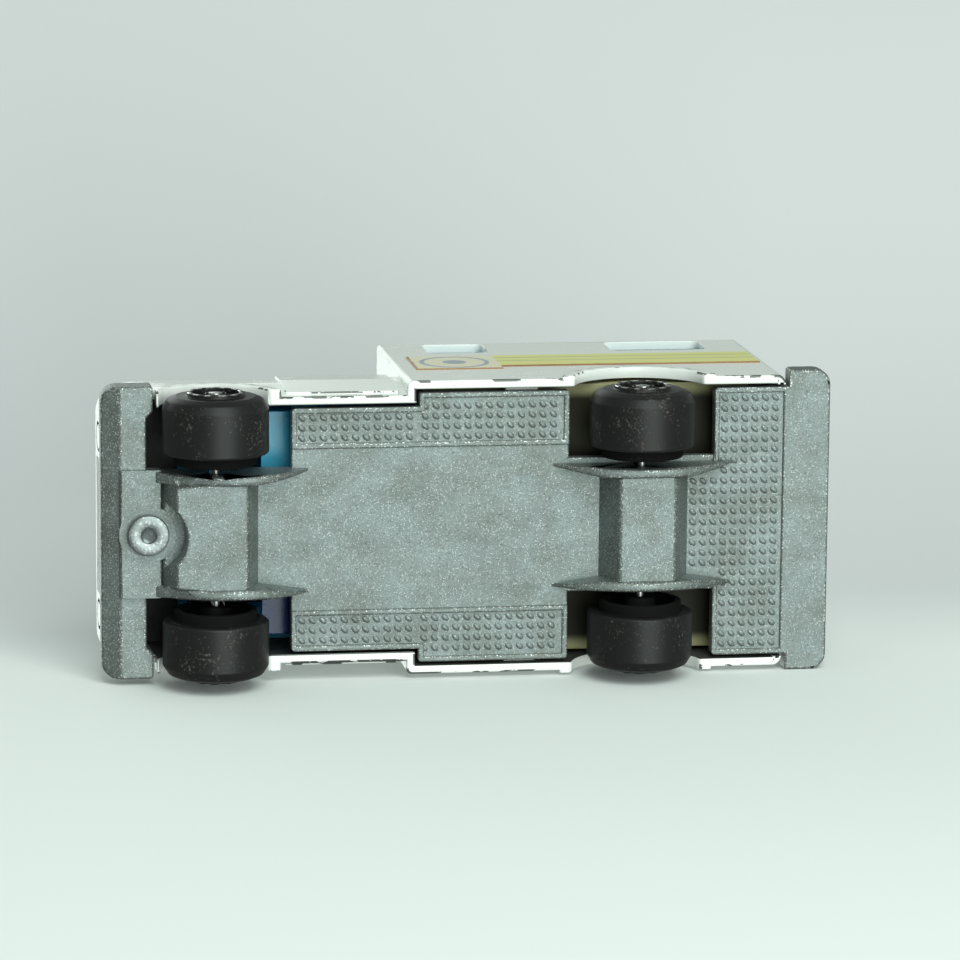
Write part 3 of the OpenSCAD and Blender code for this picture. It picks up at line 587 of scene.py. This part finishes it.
# %% Edges of the base
FIN_BAND = (4.6, 5.75)
FIN_FOOT_Z = 6.6
FIN_WIDTH = 0.95
FIN_EDGE_SHARE = 0.36
FIN_TIP_SHARE = 0.9
BESIDE_FIN_X = (5.4, 6.5)
BESIDE_FIN_Y = (22, 22.9)
BELOW_RIM_Z = 5.9
PAD_Y = -27
PAD_Z = 6.3
RING_REACH = 2.75
BETWEEN_BUMPERS = (-28.3, 29.1)
THRESHOLD_Y = (27.2, 27.4)
THRESHOLD_Z = 8.4
CORNERS_X = 10
HINGE_ROOM = 0.75
HOLE_EDGE = 0.03
RING_EDGE = 0.02
FIN_TIP_EDGE = 0.03
FIN_FOOT_EDGE = 0.06
PAD_FIN_EDGE = 0.04
BUMPER_EDGE = 0.24
BUMPER_RIM = 0.12
PLAN_CORNER = 0.35
STANDING_EDGE = 0.25
TIGHT_EDGE = 0.05
PLAIN_EDGE = 0.16
hinge = joint_at["left_door_hinge"]


def from_hinge(x, y):
    return math.hypot(abs(x) - hinge.x, y - hinge.y)


def fin_radius(y, z):
    """Half round on a fin's rim, and finer towards its thin tip and at its foot."""
    if y < PAD_Y:
        return PAD_FIN_EDGE
    share = fin_share(y)
    if share > FIN_TIP_SHARE:
        return FIN_TIP_EDGE
    if z < BELOW_RIM_Z:
        return FIN_EDGE_SHARE * (FIN_WIDTH - FIN_TAPER * share)
    return FIN_FOOT_EDGE


def base_radius(middle, outward):
    x, y, z = abs(middle.x), middle.y, middle.z
    on_threshold = z > THRESHOLD_Z and between(y, THRESHOLD_Y)
    if on_threshold or from_hinge(x, y) < HINGE_ROOM:
        return HOLE_EDGE
    if between(x, FIN_BAND) and z < FIN_FOOT_Z:
        return fin_radius(y, z)
    if z < PAD_Z and from_rivet(x, y) < RING_REACH:
        return RING_EDGE
    if not BETWEEN_BUMPERS[0] <= y <= BETWEEN_BUMPERS[1]:
        straight_down = abs(outward.z) >= 0.95
        return BUMPER_RIM if straight_down else BUMPER_EDGE
    upright_corner = min(abs(outward.x), abs(outward.y)) > 0.3 and abs(outward.z) < 0.3
    if upright_corner and x > CORNERS_X:
        return PLAN_CORNER
    if z < BELOW_RIM_Z:
        return STANDING_EDGE
    beside_fin = between(x, BESIDE_FIN_X) and between(y, BESIDE_FIN_Y)
    return TIGHT_EDGE if beside_fin else PLAIN_EDGE


round_edges(base, base_radius, segments=3)

# %% [markdown]
# ### Shaded slopes
# The slopes of the ridges and fins get painted shade, so they are darker than the flats. A second material
# could do that. It is simpler to count them as half worn, since the worn edges are darkened already.

# %% Slopes of the base
SLOPES = (-0.93, -0.25)
SLOPE_SHADE = 0.45
wear_and_shade = base.data.attributes["edge_wear_and_shade"].data
# Painted shade: the slopes get part of the darkening of the edges.
for polygon in base.data.polygons:
    if between(polygon.normal.z, SLOPES):
        wear_and_shade[polygon.index].value = max(wear_and_shade[polygon.index].value, SLOPE_SHADE)
finish_piece(base, [bare_zinc], "chassis", "base_plate", smooth=20)

# %% [markdown]
# ## The body and the doors
# The body is a thin painted casting. Its lower edges are the ones that knock against things, so they are
# rounder there and the paint has come off them. The walls' inner faces could be a second shell. Here they
# are the same mesh with another material, a near-black painted shade, which is chosen by the way a face
# points.

# %% Body
NOSE_EDGE = 0.03
SILL_EDGE = 0.22
LOW_EDGE = 0.16
BODY_EDGE = 0.1
NOSE_FRONT = -28
NOSE_BACK = -26
NOSE_Z = 8.5
NOSE_HALF = 11.5
SILL_Z = 6.6
LOW_Z = 9.2
CEILING_Z = 8
BETWEEN_WALLS = 11
RIVET_HEAD_Z = 6.45
RIVET_HEAD_REACH = 2.2


def body_radius(middle, outward):
    on_nose = middle.y < NOSE_FRONT and middle.z > NOSE_Z and abs(middle.x) < NOSE_HALF
    if on_nose:
        return NOSE_EDGE
    if middle.z < SILL_Z and outward.z < -0.2:
        return SILL_EDGE
    return LOW_EDGE if middle.z < LOW_Z else BODY_EDGE


def body_finish(at, normal):
    """Paint outside, bright metal on the spun rivet, and painted shade on the walls' inner faces."""
    if at.z < RIVET_HEAD_Z and from_rivet(at.x, at.y) < RIVET_HEAD_REACH:
        return 1
    between_walls = abs(at.x) < BETWEEN_WALLS
    inward = at.x * normal.x < -0.5 * abs(at.x)
    ceiling = normal.z < -0.5 and at.z > CEILING_Z and between_walls
    behind_nose = normal.y > 0.5 and at.y < NOSE_BACK and at.z > SILL_Z and between_walls
    return 2 if inward or ceiling or behind_nose else 0


body = cast_from("body_shell", "body_casting")
round_edges(body, body_radius)
wear_and_shade = body.data.attributes["edge_wear_and_shade"].data
for polygon in body.data.polygons:
    if polygon.center.x * polygon.normal.x < 0:
        wear_and_shade[polygon.index].value = 0.0
body_materials = [white_paint, spun_zinc, inside_shade]
finish_piece(body, body_materials, "chassis", "body_shell", which=body_finish)


# %% Doors
PIN_EDGE = 0.04


def door_radius(middle, outward):
    return PIN_EDGE if from_hinge(middle.x, middle.y) < HINGE_ROOM else BODY_EDGE


for side in ("left", "right"):
    door = cast_from("rear_door_" + side, "door_casting_" + side)
    round_edges(door, door_radius)
    finish_piece(door, [white_paint], side + "_door", "rear_door_" + side)

# %% [markdown]
# ## The tread of the base
# The strips beside the panel and the whole rear panel carry rows of slanting oval studs, cast in so that
# the base grips. A bump map would look flat from the side. One stud is the cap of a small stretched ball,
# and two array modifiers repeat it over each field.

# %% Tread studs
STUD_LEVEL = 6.75
STUD_SIZE = (0.45, 0.29, 0.23)
STUD_CUT = -0.35
STUD_SLANT = math.radians(50)
STRIP_PITCH = (0.92, 0.97)
PANEL_PITCH = (0.942, 0.93)
STRIP_INNER = 8.3


def stud_field(corner, rows, columns, pitch):
    """A grid of studs on the underside, from its corner of lowest x and y."""
    bpy.ops.object.select_all(action="DESELECT")
    bpy.ops.mesh.primitive_uv_sphere_add(segments=12, ring_count=8, radius=1)
    stud = bpy.context.object
    bpy.ops.object.mode_set(mode="EDIT")
    bpy.ops.mesh.select_all(action="SELECT")
    bpy.ops.mesh.bisect(plane_co=(0, 0, STUD_CUT), plane_no=(0, 0, 1), use_fill=True, clear_outer=True)
    bpy.ops.mesh.select_all(action="SELECT")
    bpy.ops.transform.resize(value=STUD_SIZE, center_override=(0, 0, 0))
    bpy.ops.transform.rotate(value=STUD_SLANT, orient_axis="Z", center_override=(0, 0, 0))
    bpy.ops.transform.translate(value=(corner[0], corner[1], STUD_LEVEL))
    bpy.ops.object.mode_set(mode="OBJECT")
    for count, step in ((rows, (pitch[0], 0, 0)), (columns, (0, pitch[1], 0))):
        apply_modifier(stud, "ARRAY", count=count, use_relative_offset=False, use_constant_offset=True,
            constant_offset_displace=step)
    return stud


fields = []
for side in (-1, 1):
    for rows, columns, front in ((3, 11, -15.1), (4, 13, -4.0)):
        outer = STRIP_INNER + (rows - 1) * STRIP_PITCH[0]
        first = STRIP_INNER if side > 0 else -outer
        fields.append(stud_field((first, front), rows, columns, STRIP_PITCH))
fields.append(stud_field((-11.3, 23.3), 25, 6, PANEL_PITCH))
fields.append(stud_field((-3.77, 20.5), 9, 3, PANEL_PITCH))
pick(fields[0])
for field in fields:
    field.select_set(True)
bpy.ops.object.join()
studs = bpy.context.object
studs.name = "tread_studs"
finish_piece(studs, [bare_zinc], "chassis", smooth=60)

# %% [markdown]
# ## The mouldings and axles
# The blue and yellow mouldings and the steel pins show only in the wheel wells and through the windows.
# They could be built up again in finer detail, but their measured shapes with softened edges are enough
# there.

# %% Mouldings and axles
glazing = cast_from("window_glazing", "glazing_moulding")
round_edges(glazing, evenly(0.08))
finish_piece(glazing, [blue_clear], "chassis", "window_glazing")
tray = cast_from("interior_tray", "tray_moulding")
round_edges(tray, evenly(0.15))
finish_piece(tray, [cream_plastic], "chassis", "interior_tray")
for end in ("front", "rear"):
    axle = cast_from(end + "_axle", end + "_axle_pin")
    round_edges(axle, evenly(0.06))
    finish_piece(axle, [axle_steel], "chassis", end + "_axle")

# %% [markdown]
# ## The wheels
# A wheel is turned. A cylinder could be cut into steps, but it is simpler to draw the half section as a
# line of points and spin it about the axle. The section is the measured one, with rounder corners and a
# shoulder where the tread meets the outer face.

# %% Turning
SPIN_STEPS = 64


def rounded(points, radii, steps=5):
    """The points of a closed outline with each corner replaced by an arc."""
    out = []
    for i, (b, r) in enumerate(zip(points, radii)):
        a, c = Vector(points[i - 1]), Vector(points[(i + 1) % len(points)])
        b = Vector(b)
        if r == 0:
            out.append(b)
            continue
        u, v = (a - b).normalized(), (c - b).normalized()
        half = u.angle(v) / 2
        middle = b + (u + v).normalized() * r / math.sin(half)
        start = b + u * r / math.tan(half) - middle
        end = b + v * r / math.tan(half) - middle
        out += [middle + start.slerp(end, k / steps) * r for k in range(steps + 1)]
    return out


def turned(name, outline, y, z):
    """An outline of distance along X and radius, extruded point by point and spun about the axle."""
    points = [Vector((p.x, y, z + p.y)) for p in outline]
    points.append(points[0])
    bpy.ops.object.select_all(action="DESELECT")
    bpy.ops.mesh.primitive_plane_add(size=1)
    piece = bpy.context.object
    piece.name = name
    bpy.ops.object.mode_set(mode="EDIT")
    bpy.ops.mesh.select_mode(type="VERT")
    bpy.ops.mesh.select_all(action="SELECT")
    bpy.ops.mesh.merge(type="CENTER")
    bpy.ops.transform.translate(value=points[0])
    for a, b in zip(points, points[1:]):
        bpy.ops.mesh.extrude_region_move(TRANSFORM_OT_translate={"value": b - a})
    bpy.ops.mesh.select_all(action="SELECT")
    bpy.ops.mesh.spin(steps=SPIN_STEPS, angle=2 * math.pi, center=(0, y, z), axis=(1, 0, 0))
    bpy.ops.mesh.select_all(action="SELECT")
    bpy.ops.mesh.remove_doubles(threshold=WELD)
    bpy.ops.mesh.normals_make_consistent(inside=False)
    bpy.ops.object.mode_set(mode="OBJECT")
    return piece


# %% [markdown]
# ### The hubs
# A hub has a pressed lattice with bright foil on it. It could be cut out of a disc with many small holes.
# Here two rings of faces have most of their cells inset and pushed in, which leaves the bars between them
# standing.

# %% Hub lattice
LATTICE_X = 12.86
LATTICE_RADII = (2.14, 1.55, 0.9)
LATTICE_FACES = 48
LATTICE_DEPTH = 0.3
LATTICE_BAR = 0.05
LATTICE_PLATE = 0.08


def lattice(name, side, y, z):
    """Two rings of faces in the hub, set half a cell apart, with their middles pushed in."""
    x = side * LATTICE_X
    bpy.ops.object.select_all(action="DESELECT")
    bpy.ops.mesh.primitive_circle_add(vertices=LATTICE_FACES, radius=LATTICE_RADII[0], location=(x, y, z),
        rotation=(0, math.pi / 2, 0))
    piece = bpy.context.object
    piece.name = name
    bpy.ops.object.transform_apply(location=True, rotation=True, scale=True)
    bpy.ops.object.mode_set(mode="EDIT")
    bpy.ops.mesh.select_all(action="SELECT")
    for outer, inner in zip(LATTICE_RADII, LATTICE_RADII[1:]):
        bpy.ops.mesh.extrude_edges_move()
        bpy.ops.transform.resize(value=(1, inner / outer, inner / outer), center_override=(x, y, z))
    bpy.ops.mesh.select_all(action="SELECT")
    bpy.ops.mesh.normals_make_consistent(inside=False)
    bpy.ops.mesh.select_all(action="DESELECT")
    bpy.ops.object.mode_set(mode="OBJECT")
    if piece.data.polygons[0].normal.x * side < 0:
        piece.data.flip_normals()
    for polygon in piece.data.polygons:
        across, above = polygon.center.y - y, polygon.center.z - z
        in_inner_ring = math.hypot(across, above) < LATTICE_RADII[1]
        turn = math.atan2(above, across) / (2 * math.pi) % 1
        cell = int(round(turn * LATTICE_FACES - 0.5))
        polygon.select = (cell + (2 if in_inner_ring else 0)) % 4 != 0
    bpy.ops.object.mode_set(mode="EDIT")
    bpy.ops.mesh.select_mode(type="FACE")
    bpy.ops.mesh.inset(thickness=LATTICE_BAR, depth=0)
    bpy.ops.mesh.extrude_region_move(TRANSFORM_OT_translate={"value": (-LATTICE_DEPTH * side, 0, 0)})
    bpy.ops.object.mode_set(mode="OBJECT")
    apply_modifier(piece, "SOLIDIFY", thickness=LATTICE_PLATE, offset=-1)
    return piece


# %% Wheels
DRUM_END = 7.54
RING_FACE = 12.96
BAR_FACE = 12.8
RING_CELLS = 24
section = [(6.3, 0.39), (6.3, 1.4), (8.0, 1.4), (8.0, 3.15), (6.55, 3.15), (6.55, 3.7), (7.55, 3.7),
    (7.55, 4.75), (11.6, 4.75), (12.35, 4.3), (12.65, 3.55), (12.65, 2.55), (13.0, 2.55), (13.0, 2.1),
    (12.3, 2.1), (12.3, 0.95), (12.5, 0.95), (12.5, 0.39)]
corners = [0, 0.15, 0, 0.1, 0.12, 0.15, 0.2, 0.25, 0.3, 0.5, 0.5, 0.15, 0.12, 0.08, 0, 0, 0.08, 0]


def wheel_finish(at, y, z):
    """Foil on every other cell of the hub's ring, and painted shade, a darker and duller black, on the drum
    behind the tread.
    """
    if abs(at.x) < DRUM_END:
        return 2
    cell = int(math.atan2(at.z - z, at.y - y) / (2 * math.pi) * RING_CELLS + RING_CELLS)
    return int(abs(at.x) > RING_FACE and cell % 2 == 0)


for end in ("front", "rear"):
    for side, name in ((1, "left"), (-1, "right")):
        corner = "%s_%s" % (end, name)
        _, y, z = joint_at[corner + "_wheel_spin"]
        outline = rounded([(side * x, r) for x, r in section], corners)
        wheel = turned("tyre_" + corner, outline, y, z)
        finish_piece(wheel, [black_plastic, hub_foil, shaded_black], corner + "_wheel",
            "wheel_" + corner, which=lambda at, normal: wheel_finish(at, y, z))
        hub = lattice("hub_" + corner, side, y, z)
        finish_piece(hub, [hub_foil, black_plastic], corner + "_wheel",
            which=lambda at, normal: int(abs(at.x) < BAR_FACE))

# %% [markdown]
# ## The labels
# Each side of the box has a paper label: a pale field at the front with a plain blue ring, and a yellow-
# green stripe that runs to the rear. The sheet has aged to brown along its cut edges. A picture could be
# wrapped on it, but a few distances in the frame draw the same design sharply at any size.

# %% Label print
FIELD_LENGTH = 8.0 * MM
STRIPE_RISE = 1.2 * MM
RING_MIDDLE = 3.0 * MM
RING_HALF_WIDTH = 0.22 * MM
DOT_RADIUS = 1.1 * MM
LINES_RISE = 3.7 * MM
LINES_APART = 0.9 * MM
LINE_HALF_WIDTH = 0.18 * MM
label_print, tree, shader = surface("label_print", (0.62, 0.62, 0.25, 1), 0.35)
coords = object_place(tree)
axes = axes_of(tree, coords)
along, height = axes["Y"], axes["Z"]
sheet_low, sheet_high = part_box("side_label_left")
field_end = sheet_low[1] + FIELD_LENGTH
stripe_low = sheet_low[2] + STRIPE_RISE
ring_place = (0.0, -(sheet_low[1] + field_end) / 2, -(sheet_low[2] + sheet_high[2]) / 2)
ring_at = add(tree, "ShaderNodeMapping", [("Vector", coords), ("Location", ring_place)]).outputs["Vector"]
on_sheet = add(tree, "ShaderNodeVectorMath", [(0, ring_at), (1, (0.0, 1.0, 1.0))], operation="MULTIPLY")
from_ring = add(tree, "ShaderNodeVectorMath", [(0, on_sheet.outputs["Vector"])], operation="LENGTH")
from_ring = from_ring.outputs["Value"]
off_ring = calc(tree, "ABSOLUTE", minus(tree, from_ring, RING_MIDDLE))
ring = calc(tree, "LESS_THAN", off_ring, RING_HALF_WIDTH)
dot = calc(tree, "LESS_THAN", from_ring, DOT_RADIUS)
mark = calc(tree, "MAXIMUM", ring, dot)
field = calc(tree, "LESS_THAN", along, field_end)
off_middle = calc(tree, "ABSOLUTE", minus(tree, height, stripe_low + LINES_RISE))
off_line = calc(tree, "ABSOLUTE", minus(tree, off_middle, LINES_APART))
lines = calc(tree, "LESS_THAN", off_line, LINE_HALF_WIDTH)
aged = noise(tree, coords, 700.0, 4.0, 0.6)
cream = mix(tree, aged, (0.77, 0.755, 0.60, 1), (0.82, 0.78, 0.55, 1))
cream = mix(tree, times(tree, mark, 0.75), cream, (0.22, 0.30, 0.46, 1))
yellow = mix(tree, aged, (0.73, 0.75, 0.26, 1), (0.80, 0.79, 0.31, 1))
yellow = mix(tree, times(tree, lines, 0.55), yellow, (0.30, 0.33, 0.34, 1))
print_colour = mix(tree, field, yellow, cream)
print("label field ends at", round(field_end / MM, 2), "mm")

# %% [markdown]
# ### The labels' brown edges
# Paper browns from its edges inwards, in a ragged line. The distance from an edge, made uneven by the noise
# that ages the colours, gives that line on the stripe and on the field.

# %% Label edges and sheets
STRIPE_BROWN = (0.65 * MM, 0.4 * MM)
FIELD_LOW_BROWN = (0.4 * MM, 0.2 * MM)
FIELD_FRONT_BROWN = (0.45 * MM, 0.25 * MM)


def brown_from(edge, place, reach, ragged):
    """One close to an edge of the sheet and zero past the reach, with a ragged line between."""
    uneven = plus(tree, place, times(tree, aged, ragged))
    return ramp(tree, uneven, edge + reach[0], edge + reach[1])


stripe_brown = brown_from(stripe_low, height, STRIPE_BROWN, 0.4 * MM)
stripe_brown = times(tree, stripe_brown, minus(tree, 1.0, field))
field_low_brown = brown_from(sheet_low[2], height, FIELD_LOW_BROWN, 0.3 * MM)
field_front_brown = brown_from(sheet_low[1], along, FIELD_FRONT_BROWN, 0.3 * MM)
field_brown = times(tree, calc(tree, "MAXIMUM", field_low_brown, field_front_brown), field)
brown = calc(tree, "MAXIMUM", stripe_brown, field_brown)
brown = calc(tree, "MAXIMUM", wear_and_shade_mask(tree), brown)
plug(tree, shader.inputs["Base Color"], mix(tree, brown, print_colour, (0.34, 0.15, 0.04, 1)))
bump(tree, shader, aged, 0.1, 0.03 * MM)
for name in ("left", "right"):
    label = cast_from("side_label_" + name, "label_sheet_" + name)
    round_edges(label, evenly(0.04), segments=1)
    finish_piece(label, [label_print], "chassis", "side_label_" + name)

# %% [markdown]
# ## The stage
# There are two pale sheets: the table that the toy lies on in the photograph, and the ground under its
# wheels. One turned floor could not serve both. The ground shows only from above and fades far off, and the
# table shows only to an eye that is lower than the ground, so every view has one plain floor.

# %% Stage helpers
PALE = (0.8, 0.82, 0.81, 1)
SHADE_RISE = 0.08


def paper(name, near, far):
    """A matt stage material that goes from one colour to another with height. A mask that the caller plugs
    into the last socket says which parts of it stay clear."""
    material, tree, shader = surface(name, PALE, 0.9)
    shader.inputs["Specular IOR Level"].default_value = 0.1
    geometry = add(tree, "ShaderNodeNewGeometry").outputs
    height = axes_of(tree, geometry["Position"])["Z"]
    plug(tree, shader.inputs["Base Color"], mix(tree, ramp(tree, height, 0.0, SHADE_RISE), near, far))
    clear = add(tree, "ShaderNodeBsdfTransparent").outputs["BSDF"]
    choice = add(tree, "ShaderNodeMixShader", [(1, shader.outputs["BSDF"]), (2, clear)])
    plug(tree, tree.nodes["Material Output"].inputs["Surface"], choice.outputs["Shader"])
    return material, tree, geometry, choice.inputs[0]


def lay(piece, name, material):
    """Name a stage sheet and let only the camera see it."""
    piece.name = name
    piece.data.materials.append(material)
    piece.visible_diffuse = False
    piece.visible_glossy = False
    piece.visible_transmission = False
    piece.visible_shadow = False
    print(name, "laid")


# %% Ground
GROUND_FADE = (0.15, 0.9)
ground_paper, tree, geometry, clear_share = paper("ground_paper", PALE, PALE)
from_middle = add(tree, "ShaderNodeVectorMath", [(0, geometry["Position"])], operation="LENGTH")
fade = ramp(tree, from_middle.outputs["Value"], *GROUND_FADE)
plug(tree, clear_share, calc(tree, "MAXIMUM", geometry["Backfacing"], fade))
bpy.ops.object.select_all(action="DESELECT")
bpy.ops.mesh.primitive_plane_add(size=4)
lay(bpy.context.object, "ground", ground_paper)

# %% [markdown]
# ### The table
# Behind the toy the table bends up into a plain wall, as paper does in a small studio. A flat sheet would
# end in a hard line. One edge of a plane is spun through a quarter turn and then drawn out.

# %% Table
TABLE_SIZE = 2
BEND_RADIUS = 0.06
BEND_START = 0.04
WALL_LENGTH = 1.5
TABLE_PALE = (0.84, 0.875, 0.865, 1)
WALL_GREY = (0.55, 0.56, 0.57, 1)
table_paper, tree, geometry, clear_share = paper("table_paper", TABLE_PALE, WALL_GREY)
eye_distance = add(tree, "ShaderNodeCameraData").outputs["View Distance"]
rise_to_eye = times(tree, axes_of(tree, geometry["Incoming"])["Z"], eye_distance)
eye_height = plus(tree, axes_of(tree, geometry["Position"])["Z"], rise_to_eye)
below = calc(tree, "LESS_THAN", eye_height, 0.0)
seen = times(tree, below, minus(tree, 1.0, geometry["Backfacing"]))
plug(tree, clear_share, minus(tree, 1.0, seen))
table_x = cad_box[0][0]
bpy.ops.object.select_all(action="DESELECT")
bpy.ops.mesh.primitive_plane_add(size=TABLE_SIZE, location=(table_x, 0, BEND_START - TABLE_SIZE / 2),
    rotation=(0, math.pi / 2, 0))
table = bpy.context.object
bpy.ops.object.transform_apply(location=True, rotation=True, scale=True)
for edge in table.data.edges:
    edge.select = all(table.data.vertices[v].co.z > 0 for v in edge.vertices)
for vertex in table.data.vertices:
    vertex.select = vertex.co.z > 0
bpy.ops.object.mode_set(mode="EDIT")
bend_middle = (table_x + BEND_RADIUS, 0, BEND_START)
bpy.ops.mesh.spin(steps=16, angle=math.pi / 2, center=bend_middle, axis=(0, -1, 0))
bpy.ops.mesh.extrude_region_move(TRANSFORM_OT_translate={"value": (WALL_LENGTH, 0, 0)})
bpy.ops.object.mode_set(mode="OBJECT")
bpy.ops.object.shade_smooth()
if table.data.polygons[0].normal.x < 0:
    table.data.flip_normals()
lay(table, "table", table_paper)

# %% [markdown]
# ## Light
# There are three wide lamps: one by the camera, one over the table and one over the roof for the upright
# views. A single strong lamp would leave the wheel wells black. An even pale sky fills the shadows. It is
# lighter where the camera sees it and a little dimmer in reflections. All light is very slightly green, as
# in the photograph.

# %% Light
TINT = (0.91, 1.0, 0.955)
for light_name, where, size, power in (
        ("front_light", (0.02, 0.17, -0.74), 0.55, 3.8),
        ("key_light", (0.52, 0.1, -0.52), 0.5, 3.8),
        ("roof_light", (0.1, -0.35, 0.8), 0.8, 3.4)):
    lamp = bpy.data.lights.new(light_name, "AREA")
    lamp.energy = power
    lamp.size = size
    lamp.color = TINT
    stand = bpy.data.objects.new(light_name, lamp)
    bpy.context.scene.collection.objects.link(stand)
    stand.location = where
    stand.rotation_euler = Vector(where).to_track_quat("Z", "Y").to_euler()
    print(light_name, power, "W")

SKY_LEVEL = 0.36
SEEN_EXTRA = 0.4
MIRROR_EXTRA = -0.12
world = bpy.data.worlds.new("studio")
bpy.context.scene.world = world
world.use_nodes = True
tree = world.node_tree
sky = tree.nodes["Background"].inputs
sky["Color"].default_value = (*TINT, 1)
rays = add(tree, "ShaderNodeLightPath").outputs
seen_level = times(tree, rays["Is Camera Ray"], SEEN_EXTRA)
mirror_level = times(tree, rays["Is Glossy Ray"], MIRROR_EXTRA)
plug(tree, sky["Strength"], plus(tree, plus(tree, seen_level, mirror_level), SKY_LEVEL))
print("sky level", SKY_LEVEL)
